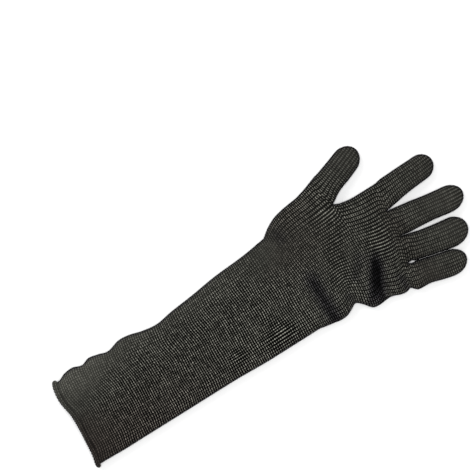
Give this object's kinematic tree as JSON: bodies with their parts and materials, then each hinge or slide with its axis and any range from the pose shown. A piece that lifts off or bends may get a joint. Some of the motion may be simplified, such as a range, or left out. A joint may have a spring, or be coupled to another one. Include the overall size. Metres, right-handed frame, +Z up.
{
  "type": "animal handling glove",
  "caption": "Seamless knitted handling glove with an arm-length sleeve, hollow to the finger tips, lying flat with an open curled hem.",
  "frame": {"origin": "middle of the footprint's box, on the surface that the glove lies on", "axes": "+Y from the hem to the finger tips, +X from the thumb towards the little finger, +Z up"},
  "size_m": [0.1692, 0.456, 0.0225],
  "materials": {
    "knit": "matte charcoal knit"
  },
  "bodies": {
    "root": {"knit_shell": "knit"}
  },
  "joints": []
}
